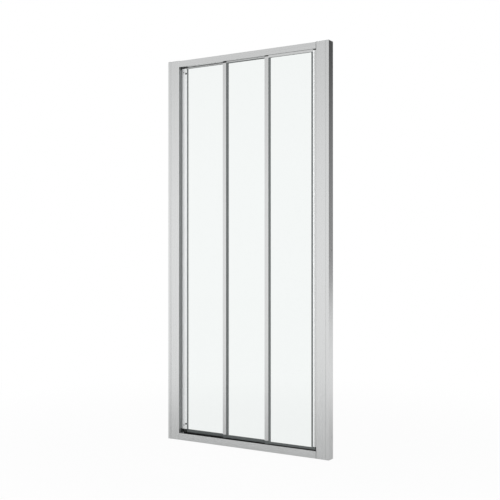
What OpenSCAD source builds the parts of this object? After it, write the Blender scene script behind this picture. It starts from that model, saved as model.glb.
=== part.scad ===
// Framed sliding shower door for a recess: a fixed panel and two panels that slide behind it
// +X runs along the doorway, +Y into the shower, +Z up, with the origin under the middle of the sill

/* [Overall] */
// Width from wall to wall
door_w = 900; // [760:10:1100]
// Height with the caps of the wall profiles
door_h = 1900; // [1600:10:2100]

/* [Wall profiles] */
// Width of a wall profile that shows beside the jamb
profile_w = 17; // [15:1:30]
// Thickness of the web that lies against the wall
profile_web = 2; // [1.6:0.1:2.6]
// Thickness of the flanges that hold the jamb
profile_wall = 1.5; // [1.2:0.1:2.5]
// Radius of the outer corners
profile_round = 1.2; // [0.6:0.1:1.2]
// Depth of the shadow groove along the front flange
groove_depth = 0.6; // [0.3:0.1:0.7]
// Width of the shadow groove
groove_w = 3; // [1:0.5:4]
// Distance of the shadow groove from the joint with the jamb
groove_in = 1.5; // [1:0.5:3]
// Thickness of the plastic caps on top
cap_t = 2; // [1:0.5:4]
// Depth of the plugs under these caps
cap_plug_h = 8; // [4:1:12]
// Radius of the holes for the wall screws
wall_hole_r = 2.75; // [2:0.25:3.5]
// Height of the lowest wall hole, and depth of the highest one below the top
wall_hole_end = 100; // [60:10:300]
// Distance of the wall holes behind the middle of the web
wall_hole_y = 10.5; // [4:0.5:13]

/* [Jambs] */
// Width of a jamb that shows beside the wall profile
jamb_face_w = 49; // [30:1:70]
// How far the jamb reaches into the wall profile
jamb_tail = 12.5; // [9:0.5:12.5]
// Thickness of the jamb's flanges and cross web
jamb_wall = 1.6; // [1.2:0.1:2.2]
// Distance of the cross web from the joint with the wall profile
jamb_web_in = 3; // [2:0.5:10]
// Thickness of the wall behind the panel channels
jamb_floor = 1.8; // [1.4:0.1:3]
// Width of the channel that each track has in the jamb
channel_w = 8.6; // [8:0.1:9.4]
// Depth of these channels
channel_depth = 4; // [3.5:0.1:6]
// Largest radius of the corners beside the doorway
jamb_round = 3.6; // [0.5:0.1:4]

/* [Tracks] */
// Distance from one track to the next
track_pitch = 13; // [12.6:0.1:16]
// Room between the outer tracks' panels and the walls of the track
track_side_gap = 1.2; // [1:0.1:3]
// Thickness of the front and rear walls of the header and sill
track_wall = 1.4; // [1:0.1:2.4]
// Thickness of the header's roof and the sill's floor
track_plate = 2; // [1.8:0.1:3]
// Radius along the outer edges of the header and sill
track_round = 1.2; // [0.4:0.1:1.4]
// Height of the header's front face
header_front_h = 30; // [28:0.5:45]
// Height of the header's rear wall
header_rear_h = 30; // [28:0.5:50]
// Height of the sill's front face
sill_front_h = 33.5; // [30:0.5:45]
// How far the sill's rear wall stands above its front face
sill_rear_rise = 6.5; // [4:0.5:12]
// Thickness of the webs between the tracks
web_t = 1.2; // [1:0.1:1.4]
// Thickness of the ledges that the rollers run on
ledge_t = 1.6; // [1.2:0.1:2.4]
// Thickness of the nylon running strips on the ledges
strip_t = 0.8; // [0.5:0.1:1.5]
// Height of the cover that closes the header's front track beside the fixed panel
cover_h = 7; // [4:0.5:12]
// Wall thickness of this cover's legs and of the covers in the jambs' unused channels
cover_wall = 1.2; // [0.8:0.1:1.6]
// Radius of the bosses that take the corner screws
port_r = 2.6; // [2.4:0.1:2.6]
// Height of the rubber seal on the sill's rear wall
sill_seal_h = 16; // [8:1:18]

/* [Panels] */
// Thickness of the framed panels
panel_t = 10.8; // [10.4:0.1:11]
// Width of an ordinary stile, which is also the overlap of two panels
stile_w = 21; // [20:0.5:26]
// Width of the handle stile
handle_w = 28; // [25:0.5:36]
// How far the handle stile's face stands in front of the other stiles
handle_bulge = 1.4; // [1.2:0.1:2]
// How much further the handle stile's face stands out at its outer edge
handle_rise = 1.8; // [0.5:0.1:2.4]
// Radius of this edge
handle_round = 3; // [1:0.5:3.5]
// Wall thickness of the stiles
stile_wall = 1.2; // [1:0.1:1.6]
// Radius along the edges of the stiles
stile_round = 0.8; // [0.3:0.1:0.9]
// Width of the edge profile at the fixed panel's jamb side
edge_w = 12; // [10.5:0.5:20]
// Width of the slanted part of the edge profile's face
edge_slope_w = 6.5; // [3:0.5:8]
// How far this face falls back towards the jamb
edge_fall = 0.7; // [0.2:0.1:0.7]
// Setback of the rails behind the faces of the stiles
rail_inset = 0.4; // [0.2:0.1:0.6]
// Setback of the top rails below the tops of the stile caps
rail_drop = 0; // [0:0.5:2]
// Height of the sliding panels' top rails
slider_rail_h = 5; // [5:0.5:14]
// Height of the fixed panel's top rail
fixed_rail_h = 11.5; // [6:0.5:24]
// Height of the sliding panels' bottom rails
bottom_rail_h = 13.5; // [12:0.5:20]
// Height of the fixed panel's bottom rail
fixed_bottom_h = 11; // [10:0.5:20]
// Gap between the sill's front edge and the panels
sill_gap = 3; // [2:0.5:6]
// Gap between the header's lower edge and the panels
head_gap = 0.5; // [0.5:0.5:4]
// Height of the plastic feet under the stiles
foot_h = 15.5; // [14:0.5:22]
// Height of the plastic caps on the stiles
head_cap_h = 5; // [4:0.5:8]
// Gap between the closed panel and the jamb's ribs
closing_gap = 0.5; // [0.3:0.1:1.5]
// Gap between the fixed panel's edge profile and the jamb's ribs
fixed_gap = 4; // [2:0.5:6]
// Thickness of the stop fins on the stiles
fin_t = 1; // [0.8:0.1:1.4]
// Gap that is left where two stop fins meet
stop_gap = 0.4; // [0.3:0.1:0.8]

/* [Glass] */
// Thickness of the glass
glass_t = 4; // [3:0.5:4]
// How far the glass reaches into the stiles
glass_embed = 6.5; // [4:0.5:6.5]
// How far the glass reaches into the rails
rail_embed = 2.4; // [2:0.1:3]
// Thickness of the rubber on each face of the glass
gasket_t = 1.4; // [0.8:0.1:1.4]
// Thickness of the rubber around the glass's edge
gasket_edge = 1.2; // [0.8:0.1:1.2]
// Width of the rubber that shows beside the stiles
gasket_show = 9; // [2:0.5:12]
// Width of the rubber that shows beside the handle stile
handle_gasket_show = 3.5; // [1:0.5:12]
// Width of the rubber that shows under the sliding panels' top rails
slider_gasket_show = 2.5; // [0.5:0.5:6]
// Width of the rubber that shows beside the other rails
rail_gasket_show = 1; // [0.5:0.5:3]

/* [Rollers] */
// Radius of the rollers
wheel_r = 8; // [7.6:0.1:8.4]
// Width of the rollers
wheel_w = 4.8; // [4.2:0.1:5]
// Radius of the roller axles
axle_r = 2; // [1.6:0.1:2.2]
// Radial clearance of the rollers on their axles
axle_gap = 0.05; // [0.03:0.01:0.09]
// Thickness of the carriage plates that hold the axles
carriage_t = 2; // [1.6:0.1:2.2]
// Radius of the carriage hubs and the axle heads
hub_r = 3.2; // [2.8:0.1:3.2]
// Distance of the axles from the outer edges of the ordinary stiles
axle_in = 6.55; // [5.5:0.05:7]
// Distance of the axles from the handle stile's outer edge
handle_axle_in = 10.05; // [8:0.05:12]
// How far the carriages reach into the ordinary stiles
stem_h = 18; // [14:1:24]

/* [Handle blocks] */
// Height of the plastic blocks at the ends of the handle stile
block_h = 30; // [28:1:40]
// Distance of the block screw from the block's end
block_screw_in = 18; // [10:0.5:20]
// How far the handle stile's carriages reach past the block screws
block_grip = 6; // [4:0.5:10]
// Distance of the access hole from the block's end
access_in = 25.5; // [18:0.5:25.5]
// Distance of the access hole from the block's edge
access_edge = 1.6; // [1:0.1:3]
// Radius of the access hole
access_r = 2; // [1.2:0.1:2]
// Depth of the access hole
access_depth = 2.2; // [1:0.1:2.4]

/* [Magnets and seals] */
// Thickness of the magnet strip in the jamb
jamb_magnet_t = 1.5; // [1:0.1:1.8]
// Width of the magnet strips
magnet_w = 7.4; // [5:0.1:7.6]
// How far the closing panel's magnet strip hangs below its frame
magnet_drop = 3.5; // [1:0.5:6]
// Width of the rubber seal where two panels overlap
overlap_seal_w = 6; // [3:0.5:8]
// Distance of this seal from the edge of its stile
overlap_seal_in = 1; // [0.5:0.5:2]
// Height of the rubber seal under the fixed panel
fixed_seal_h = 5; // [2:0.5:12]
// Setback of this seal behind the fixed panel's face
fixed_seal_in = 0.9; // [0.5:0.1:2]

/* [Fixed panel supports] */
// Length of the support blocks of the fixed panel
support_l = 24; // [16:1:40]
// Thickness of the support blocks
support_t = 4.8; // [4:0.1:4.8]
// Distance of the support blocks from the fixed panel's frame
support_in = 20; // [5:1:50]

/* [Screws] */
// Radius of the screw shafts
screw_r = 1.5; // [1.2:0.1:1.5]
// Radius of the countersunk screw heads
head_r = 2.8; // [2.4:0.1:2.9]
// Height of the countersunk heads
head_h = 1.2; // [0.8:0.1:1.2]
// Depth that the corner screws reach into the header and sill
corner_screw_l = 20; // [10:1:30]
// Radius of the corner screws' pan heads
pan_r = 3; // [2.6:0.1:3.4]
// Height of these pan heads
pan_h = 2; // [1.4:0.1:2.6]
// Radius of the heads of the handle block screws
block_head_r = 2.6; // [2.2:0.1:2.8]
// Height of these heads
block_head_h = 1.2; // [0.8:0.1:1.6]
// Length of these screws
block_screw_l = 7.5; // [6:0.5:9]
// How far these screws lie behind the face of the block
block_screw_sink = 0.5; // [0.3:0.1:1]
// Distance of the upper and lower jamb screws from the door's ends
jamb_screw_end = 210; // [130:10:400]

/* [Hidden] */
$fn = 48;

// Overshoot of a cut past the face that it opens
eps = 1;
// Gap of a piece that is pushed into a hollow
fit_gap = 0.2;
// Gap of a shaft in its hole where nothing turns
hole_gap = 0.05;
// Gap of a rubber lip beside the face that it seals
lip_gap = 0.3;

// Depth of the door, from the tracks outwards
track_in_d = 2 * track_pitch + panel_t + 2 * track_side_gap;
track_d = track_in_d + 2 * track_wall;
door_d = track_d + 2 * profile_wall;
fixed_y = -track_pitch;
middle_y = 0;
closing_y = track_pitch;

// Places across the doorway
joint_x = door_w / 2 - profile_w;
jamb_x = joint_x - jamb_face_w;
floor_x = jamb_x + channel_depth;
jamb_web_x = joint_x - jamb_web_in;
jamb_end_x = joint_x + min(jamb_tail, profile_w - profile_web - fit_gap);
closing_x0 = -jamb_x + closing_gap;
fixed_x1 = jamb_x - fixed_gap;
fixed_w = (fixed_x1 - closing_x0 + 2 * stile_w) / 3;
fixed_x0 = fixed_x1 - fixed_w;
edge_x0 = fixed_x1 - edge_w;
middle_x1 = fixed_x0 + stile_w;
middle_w = (middle_x1 - closing_x0 + 2 * stile_w - handle_w) / 2;
middle_x0 = middle_x1 - middle_w;
closing_x1 = middle_x0 + stile_w;

// Heights that the rollers set, counted from the outer face of a track
roll_gap = 1;
run_gap = 0.05;
axle_z = track_plate + roll_gap + wheel_r;
strip_z = axle_z + wheel_r + run_gap;
ledge_z = strip_z + strip_t;
web_h = ledge_z + ledge_t;
head_room = header_front_h - web_h;

// Heights of the panels
header_top = door_h - cap_t;
header_z = header_top - header_front_h;
top_axle_z = header_top - head_room - axle_z;
panel_z0 = sill_front_h + sill_gap;
panel_z1 = header_z - head_gap;
stile_z0 = panel_z0 + foot_h;
stile_z1 = panel_z1 - head_cap_h;
rail_top_z = panel_z1 - rail_drop;
slider_rail_z = rail_top_z - slider_rail_h;
fixed_rail_z = rail_top_z - fixed_rail_h;
slider_base_z = panel_z0 + bottom_rail_h;
fixed_base_z = panel_z0 + fixed_bottom_h;
sill_rear_h = sill_front_h + sill_rear_rise;

// Depths across one track, counted from the track's middle
wheel_side_gap = 0.5;
hub_gap = 0.2;
hub_h = 0.8;
wheel_y0 = -track_pitch / 2 + web_t / 2 + wheel_side_gap;
wheel_y1 = wheel_y0 + wheel_w;
plate_y0 = wheel_y1 + hub_gap + hub_h;
plate_y1 = plate_y0 + carriage_t;
ledge_y0 = -track_pitch / 2 + web_t / 2;
ledge_y1 = wheel_y1 + (plate_y0 - wheel_y1) / 2;
axle_head_t = 1.2;
axle_flange_t = 0.6;
recess_depth = 1;
recess_r = hub_r + 0.4;
support_y = -track_pitch / 2 - web_t / 2 - 2 * fit_gap - support_t / 2;
port_y = port_r + max(track_pitch + wheel_y1 + 2 * fit_gap, support_t / 2 - support_y + fit_gap);
port_z = track_plate + port_r;
port_bore_r = screw_r + 0.1;

// Pockets that hold the glass
pocket_w = glass_t + 2 * gasket_t + fit_gap;
pocket_d = glass_embed + gasket_edge + fit_gap;
rail_pocket_d = rail_embed + gasket_edge + fit_gap;
gasket_w = glass_t + 2 * gasket_t;
// Chambers of the stiles, counted from the stile's outer edge
chamber_u0 = stile_wall;
chamber_u1 = stile_w - pocket_d - stile_wall;
chamber_y = panel_t / 2 - stile_wall;
handle_chamber_u1 = handle_w - pocket_d - stile_wall;
handle_chamber_y0 = -panel_t / 2 - handle_bulge + stile_wall;
chamber_mid = (chamber_u0 + chamber_u1) / 2;
handle_mid = (chamber_u0 + handle_chamber_u1) / 2;
carriage_w = chamber_u1 - chamber_u0 - 2 * fit_gap;
fin_h = track_pitch - panel_t - 2 * fit_gap;

// Places of the axles and the carriages' screws
closing_left_x = closing_x0 + handle_axle_in;
closing_right_x = closing_x1 - axle_in;
middle_left_x = middle_x0 + axle_in;
middle_right_x = middle_x1 - axle_in;

// Rectangle between two corners
module rect(x0, y0, x1, y1) {
    translate([x0, y0]) square([x1 - x0, y1 - y0]);
}

// Rectangle between two corners, rounded to the radius r
module round_rect(x0, y0, x1, y1, r) {
    for (x = [x0 + r, x1 - r], y = [y0 + r, y1 - r]) {
        translate([x, y]) circle(r);
    }
    rect(x0 + r, y0, x1 - r, y1);
    rect(x0, y0 + r, x1, y1 - r);
}

// Box between two opposite corners
module block(a, b) {
    translate([min(a.x, b.x), min(a.y, b.y), min(a.z, b.z)])
        cube([abs(b.x - a.x), abs(b.y - a.y), abs(b.z - a.z)]);
}

// Upright extrusion of a section drawn in X and Y
module upright(z0, z1) {
    translate([0, 0, z0]) linear_extrude(z1 - z0) children();
}

// Extrusion along X of a section drawn in Y and Z
module lengthwise(x0, x1) {
    translate([x0, 0, 0]) rotate([90, 0, 90]) linear_extrude(x1 - x0) children();
}

// Round bar or hole along X, along Y and along Z
module bar_x(x0, x1, y, z, r) {
    translate([min(x0, x1), y, z]) rotate([0, 90, 0]) cylinder(h = abs(x1 - x0), r = r);
}

module bar_y(x, y0, y1, z, r) {
    translate([x, min(y0, y1), z]) rotate([-90, 0, 0]) cylinder(h = abs(y1 - y0), r = r);
}

module bar_z(x, y, z0, z1, r) {
    translate([x, y, min(z0, z1)]) cylinder(h = abs(z1 - z0), r = r);
}

// Countersunk screw whose head lies flush with z = 0 and whose shaft points down
module countersunk(shaft_l) {
    difference() {
        rotate_extrude()
            polygon([[0, 0], [head_r, 0], [screw_r, -head_h], [screw_r, -shaft_l], [0, -shaft_l]]);
        drive_slot(head_r);
    }
}

// Slot across a screw head whose face lies at z = 0
module drive_slot(r) {
    slot_w = 0.9;
    slot_depth = 0.6;
    block([-r, -slot_w / 2, -slot_depth], [r, slot_w / 2, eps]);
}

// Room for that screw, with its hole
module countersink(shaft_l) {
    rotate_extrude()
        polygon([
            [0, eps], [head_r + hole_gap, eps], [head_r + hole_gap, 0],
            [screw_r + hole_gap, -head_h], [screw_r + hole_gap, -shaft_l - hole_gap],
            [0, -shaft_l - hole_gap]
        ]);
}

// Places of the wall holes, jamb screws and corner screws

function wall_hole_heights() = [wall_hole_end, door_h / 2, door_h - wall_hole_end];

module at_jamb_screws() {
    screw_x = (joint_x + jamb_end_x) / 2;
    for (side = [-1, 1], z = [jamb_screw_end, door_h / 2, door_h - jamb_screw_end]) {
        translate([side * screw_x, door_d / 2, z]) rotate([-90, 0, 0]) children();
    }
}

// Wall profiles: channels that are screwed to the wall and take up its tolerance

module profile_section() {
    half_d = door_d / 2;
    groove_x = joint_x + groove_in;
    difference() {
        round_rect(joint_x, -half_d, door_w / 2, half_d, profile_round);
        rect(joint_x - eps, -track_d / 2, door_w / 2 - profile_web, track_d / 2);
        rect(groove_x, -half_d - eps, groove_x + groove_w, -half_d + groove_depth);
    }
}

module wall_profile() {
    difference() {
        upright(0, header_top) profile_section();
        for (z = wall_hole_heights()) {
            bar_x(door_w / 2 - profile_web - eps, door_w / 2 + eps, wall_hole_y, z, wall_hole_r);
        }
        at_jamb_screws() countersink(jamb_screw_l());
    }
}

function jamb_screw_l() = profile_wall + jamb_wall + 2;

module left_wall_profile() {
    color("gainsboro") mirror([1, 0, 0]) wall_profile();
}

module right_wall_profile() {
    color("gainsboro") wall_profile();
}

module wall_profile_caps() {
    color("silver") for (side = [-1, 1]) {
        upright(header_top, door_h) on_side(side)
            round_rect(joint_x, -door_d / 2, door_w / 2, door_d / 2, profile_round);
        cap_plug(side, joint_x, door_w / 2 - profile_web, track_d / 2 - jamb_wall);
    }
}

// Plug under a cap, pushed into a hollow between two distances from the middle
module cap_plug(side, x0, x1, half_d) {
    plug_y = half_d - fit_gap;
    block([side * (x0 + fit_gap), -plug_y, header_top - cap_plug_h],
        [side * (x1 - fit_gap), plug_y, header_top]);
}

// Draws a section on the right, or mirrored on the left
module on_side(side) {
    if (side > 0) {
        children();
    } else {
        mirror([1, 0]) children();
    }
}

// Jambs: hollow uprights with a channel for each track

// Outline of a jamb up to a distance from the middle
module jamb_outline(x1) {
    half_d = track_d / 2;
    rib_w = half_d - closing_y - channel_w / 2;
    r = min(jamb_round, rib_w - fit_gap / 2);
    round_rect(jamb_x, -half_d, jamb_web_x, half_d, r);
    rect(jamb_x + r, -half_d, x1, half_d);
}

module jamb_section() {
    half_d = track_d / 2;
    difference() {
        jamb_outline(jamb_end_x);
        for (y = [fixed_y, middle_y, closing_y]) {
            rect(jamb_x - eps, y - channel_w / 2, floor_x, y + channel_w / 2);
        }
        rect(floor_x + jamb_floor, jamb_wall - half_d, jamb_web_x, half_d - jamb_wall);
        rect(jamb_web_x + jamb_wall, jamb_wall - half_d, jamb_end_x + eps, half_d - jamb_wall);
    }
}

module jamb() {
    difference() {
        upright(0, header_top) jamb_section();
        for (y = [-port_y, port_y], z = [port_z, header_top - port_z]) {
            bar_x(jamb_x - eps, floor_x + jamb_floor + eps, y, z, port_bore_r);
        }
        at_jamb_screws() countersink(jamb_screw_l());
    }
}

module jamb_caps() {
    color("silver") for (side = [-1, 1]) {
        upright(header_top, door_h) on_side(side) jamb_outline(joint_x);
        cap_plug(side, floor_x + jamb_floor, jamb_web_x, port_y - pan_r);
    }
}

// Cover strips that are pushed into the channels that no panel enters
module jamb_covers() {
    color("gray") upright(sill_front_h + fit_gap, header_z - fit_gap) {
        for (y = [middle_y, closing_y]) {
            jamb_cover_section(y);
        }
        mirror([1, 0]) for (y = [fixed_y, middle_y]) {
            jamb_cover_section(y);
        }
    }
}

module jamb_cover_section(y) {
    half_w = channel_w / 2 - fit_gap;
    difference() {
        rect(jamb_x, y - half_w, floor_x, y + half_w);
        rect(jamb_x + cover_wall, y - half_w + cover_wall, floor_x + eps, y + half_w - cover_wall);
    }
}

module left_jamb() {
    color("lightgray") mirror([1, 0, 0]) jamb();
}

module right_jamb() {
    color("lightgray") jamb();
}

module jamb_fixing_screws() {
    color("dimgray") at_jamb_screws() countersunk(jamb_screw_l());
}

module corner_screws() {
    color("dimgray")
        for (side = [-1, 1], y = [-port_y, port_y], z = [port_z, header_top - port_z]) {
            head_x = side * (floor_x + jamb_floor);
            bar_x(head_x, side * (jamb_x - corner_screw_l), y, z, screw_r);
            bar_x(head_x, head_x + side * pan_h, y, z, pan_r);
        }
}

// Header and sill, drawn from the outer face and upright for the sill, with room past the rollers

module track_section(front_h, rear_h, room) {
    half_d = track_d / 2;
    in_y = track_in_d / 2;
    bead_h = 3;
    bead_t = track_wall + track_side_gap / 2;
    bead_r = (bead_t - fit_gap) / 2;
    difference() {
        union() {
            intersection() {
                round_rect(-half_d, 0, half_d, front_h + rear_h, track_round);
                union() {
                    rect(-half_d, 0, half_d, track_plate);
                    rect(-half_d, 0, -in_y, front_h - bead_h / 2);
                    rect(in_y, 0, half_d, rear_h);
                }
            }
            round_rect(-half_d, front_h - bead_h, bead_t - half_d, front_h, bead_r);
            for (y = [-track_pitch / 2, track_pitch / 2]) {
                rect(y - web_t / 2, track_plate - eps, y + web_t / 2, web_h + room);
            }
            for (y = [middle_y, closing_y]) {
                rect(y + ledge_y0 - web_t / 2, ledge_z + room, y + ledge_y1, web_h + room);
            }
            for (y = [-port_y, port_y]) {
                translate([y, port_z]) circle(port_r);
                rect(y - port_r, track_plate - eps, y + port_r, port_z);
            }
        }
        for (y = [-port_y, port_y]) {
            translate([y, port_z]) circle(port_bore_r);
        }
    }
}

// Turns a section from the sill's way up to the header's
module as_header() {
    translate([0, header_top]) mirror([0, 1]) children();
}

module header_track() {
    color("gainsboro") difference() {
        lengthwise(-jamb_x, jamb_x) as_header()
            track_section(header_front_h, header_rear_h, head_room);
        at_top_supports() countersink(support_screw_l());
    }
}

module header_cover() {
    front_y = track_side_gap / 2 - track_in_d / 2 + fit_gap;
    rear_y = -track_pitch / 2 - web_t / 2 - fit_gap;
    top = header_front_h - cover_h;
    color("gainsboro") lengthwise(fit_gap - jamb_x, fixed_x0 + stile_w) as_header() difference() {
        rect(front_y, top, rear_y, header_front_h);
        rect(front_y + cover_wall, top - eps, rear_y - cover_wall, header_front_h - ledge_t);
    }
}

module sill_track() {
    color("lightgray") difference() {
        lengthwise(-jamb_x, jamb_x) track_section(sill_front_h, sill_rear_h, 0);
        at_bottom_supports() countersink(support_screw_l());
    }
}

module strip_section(room) {
    for (y = [middle_y, closing_y]) {
        rect(y + ledge_y0, strip_z + room, y + ledge_y1 - fit_gap, ledge_z + room);
    }
}

module header_running_strips() {
    color("black") lengthwise(-jamb_x, jamb_x) as_header() strip_section(head_room);
}

module sill_running_strips() {
    color("black") lengthwise(-jamb_x, jamb_x) strip_section(0);
}

module sill_rear_seal() {
    color("black") lengthwise(-jamb_x, jamb_x)
        rect(closing_y + panel_t / 2 + lip_gap, sill_rear_h - sill_seal_h, track_in_d / 2, sill_rear_h);
}

// Pieces that the three panels share

module left_stile_section(w) {
    difference() {
        round_rect(0, -panel_t / 2, w, panel_t / 2, stile_round);
        rect(chamber_u0, -chamber_y, chamber_u1, chamber_y);
        rect(w - pocket_d, -pocket_w / 2, w + eps, pocket_w / 2);
    }
}

// Fin on the rear or front face of a stile, from u = 0 along the stile's width
module fin_section(u, face) {
    rect(u, face > 0 ? panel_t / 2 - stile_wall : -panel_t / 2 - fin_h,
        u + fin_t, face > 0 ? panel_t / 2 + fin_h : stile_wall - panel_t / 2);
}

// Front face of the handle stile at a distance from its outer edge
function handle_face_y(u) = -panel_t / 2 - handle_bulge - handle_rise * (1 - u / handle_w);

module handle_outline() {
    outer_y = handle_face_y(0);
    round_y = outer_y + handle_round;
    intersection() {
        union() {
            translate([handle_round, round_y]) circle(handle_round);
            rect(handle_round, outer_y, handle_w, round_y);
            rect(0, round_y, handle_w, 0);
            round_rect(0, -2 * stile_round, handle_w, panel_t / 2, stile_round);
        }
        polygon([
            [0, outer_y], [handle_w, handle_face_y(handle_w)], [handle_w, panel_t / 2],
            [0, panel_t / 2]
        ]);
    }
}

module handle_section() {
    difference() {
        handle_outline();
        rect(chamber_u0, handle_chamber_y0, handle_chamber_u1, chamber_y);
        rect(handle_w - pocket_d, -pocket_w / 2, handle_w + eps, pocket_w / 2);
    }
}

// Plastic cap or foot at the end of a stile, open for the carriage plate and the gasket's corner
module stile_cap(w, z0, z1, pocket_z0, pocket_z1, plate_u) {
    difference() {
        upright(z0, z1) children();
        block([w - pocket_d, -pocket_w / 2, pocket_z0], [w + eps, pocket_w / 2, pocket_z1]);
        if (plate_u > 0) {
            block([plate_u - carriage_w / 2 - fit_gap, plate_y0 - fit_gap, z0 - eps],
                [plate_u + carriage_w / 2 + fit_gap, plate_y1 + fit_gap, z1 + eps]);
        }
    }
}

// Foot and head cap of one stile, whose outline is the child
module stile_cap_pair(w, base_z, glass_top, plate_u) {
    foot_pocket_z = base_z - rail_pocket_d;
    stile_cap(w, panel_z0, stile_z0, foot_pocket_z, stile_z0 + eps, plate_u) children();
    stile_cap(w, stile_z1, panel_z1, stile_z1 - eps, glass_top + gasket_edge + fit_gap, plate_u)
        children();
}

module cap_outline() {
    round_rect(0, -panel_t / 2, stile_w, panel_t / 2, stile_round);
}

module top_rail(x0, x1, y, rail_z) {
    rail_y = panel_t / 2 - rail_inset;
    lengthwise(x0, x1) translate([y, 0]) difference() {
        round_rect(-rail_y, rail_z, rail_y, rail_top_z, stile_round / 2);
        rect(-pocket_w / 2, rail_z - eps, pocket_w / 2, rail_z + rail_pocket_d);
    }
}

module bottom_rail(x0, x1, y, base_z) {
    rail_y = panel_t / 2 - rail_inset;
    hollow_wall = 1.6;
    lengthwise(x0, x1) translate([y, 0]) difference() {
        round_rect(-rail_y, panel_z0, rail_y, base_z, stile_round);
        rect(-pocket_w / 2, base_z - rail_pocket_d, pocket_w / 2, base_z + eps);
        rect(hollow_wall - rail_y, panel_z0 + hollow_wall,
            rail_y - hollow_wall, base_z - rail_pocket_d - hollow_wall);
    }
}

// Pane between two stile edges, the top of a bottom rail and the lower edge of a top rail
module pane(x0, x1, y, base_z, rail_z) {
    block([x0 - glass_embed, y - glass_t / 2, base_z - rail_embed],
        [x1 + glass_embed, y + glass_t / 2, rail_z + rail_embed]);
}

module pane_gasket(x0, x1, y, base_z, rail_z, left_show, top_show) {
    reach = glass_embed + gasket_edge;
    rail_reach = rail_embed + gasket_edge;
    difference() {
        block([x0 - reach, y - gasket_w / 2, base_z - rail_reach],
            [x1 + reach, y + gasket_w / 2, rail_z + rail_reach]);
        block([x0 + left_show, y - gasket_w, base_z + rail_gasket_show],
            [x1 - gasket_show, y + gasket_w, rail_z - top_show]);
        pane(x0, x1, y, base_z, rail_z);
    }
}

// Roller carriage: a stem in the stile and a plate that carries the axle past the ledge
module carriage(mid_x, axle_x, y, half_stem, stem_y0, stem, end_z, axle_at) {
    way = sign(axle_at - end_z);
    difference() {
        union() {
            block([mid_x - half_stem, y + stem_y0, end_z - way * stem],
                [mid_x + half_stem, y + chamber_y - fit_gap, end_z]);
            block([mid_x - carriage_w / 2, y + plate_y0, end_z - way * eps],
                [mid_x + carriage_w / 2, y + plate_y1, axle_at + way * hub_r]);
            bar_y(axle_x, y + plate_y0 - hub_h, y + plate_y1, axle_at, hub_r);
        }
        bar_y(axle_x, y + plate_y0 - hub_h - eps, y + plate_y1 + eps, axle_at, axle_r + hole_gap);
    }
}

function stem_screw_z(end_z, way) = end_z - way * stem_h / 2;

// Carriage in a stile whose outer edge is at edge_x, with the axle towards the inside by side
module ordinary_carriage(edge_x, side, y, end_z, axle_at) {
    axle_x = edge_x + side * axle_in;
    stem_y0 = fit_gap - chamber_y;
    screw_z = stem_screw_z(end_z, sign(axle_at - end_z));
    difference() {
        carriage(edge_x + side * chamber_mid, axle_x, y, carriage_w / 2, stem_y0, stem_h, end_z,
            axle_at);
        bar_y(axle_x, y - panel_t, y + panel_t, screw_z, screw_r + hole_gap);
    }
}

// Screw through the rear face of a stile into the carriage's stem
module at_rear_screw(x, y, end_z, way) {
    translate([x, y + panel_t / 2, stem_screw_z(end_z, way)]) rotate([-90, 0, 0]) children();
}

function rear_screw_l() = panel_t - 2 * stile_wall;

// Screw holes of the carriages in a stile
module stile_screw_holes(x, y) {
    at_rear_screw(x, y, stile_z0, -1) countersink(rear_screw_l());
    at_rear_screw(x, y, stile_z1, 1) countersink(rear_screw_l());
}

module stile_screws(x, y) {
    at_rear_screw(x, y, stile_z0, -1) countersunk(rear_screw_l());
    at_rear_screw(x, y, stile_z1, 1) countersunk(rear_screw_l());
}

// Axle pin with a head behind the plate and a flange in the roller's recess
module axle(x, y, z) {
    bar_y(x, y + plate_y1, y + plate_y1 + axle_head_t, z, hub_r);
    bar_y(x, y + wheel_y0 + lip_gap / 2, y + plate_y1, z, axle_r);
    bar_y(x, y + wheel_y0 + lip_gap / 2, y + wheel_y0 + lip_gap / 2 + axle_flange_t, z, hub_r);
}

// Roller, drawn as a disc that is turned around its axle
module roller(x, y, z) {
    bore = axle_r + axle_gap;
    edge = 0.5;
    dish_r0 = recess_r + 0.8;
    dish_r1 = wheel_r - 1.2;
    dish = 0.5;
    translate([x, y + wheel_y0, z]) rotate([-90, 0, 0]) rotate_extrude($fn = 72)
        polygon([
            [bore, recess_depth], [recess_r, recess_depth], [recess_r, 0], [dish_r0, 0],
            [dish_r0, dish], [dish_r1, dish], [dish_r1, 0], [wheel_r - edge, 0],
            [wheel_r, edge], [wheel_r, wheel_w - edge], [wheel_r - edge, wheel_w],
            [dish_r1, wheel_w], [dish_r1, wheel_w - dish], [dish_r0, wheel_w - dish],
            [dish_r0, wheel_w], [bore, wheel_w]
        ]);
}

// Fixed panel

module fixed_glass() {
    color("azure") pane(fixed_x0 + stile_w, edge_x0, fixed_y, fixed_base_z, fixed_rail_z);
}

module fixed_glass_gasket() {
    color("dimgray") pane_gasket(fixed_x0 + stile_w, edge_x0, fixed_y, fixed_base_z, fixed_rail_z,
        gasket_show, rail_gasket_show);
}

module fixed_stile() {
    color("gainsboro") translate([fixed_x0, fixed_y, 0]) upright(stile_z0, stile_z1) {
        left_stile_section(stile_w);
        fin_section(0, 1);
    }
}

// Outline of the edge profile from its jamb side, with a face that falls back towards the jamb
module edge_outline() {
    front_y = -panel_t / 2;
    difference() {
        round_rect(0, front_y, edge_w, panel_t / 2, stile_round);
        polygon([
            [-eps, front_y - eps], [-eps, front_y + edge_fall],
            [edge_w - edge_slope_w, front_y + edge_fall], [edge_w, front_y],
            [edge_w, front_y - eps]
        ]);
    }
}

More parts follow.
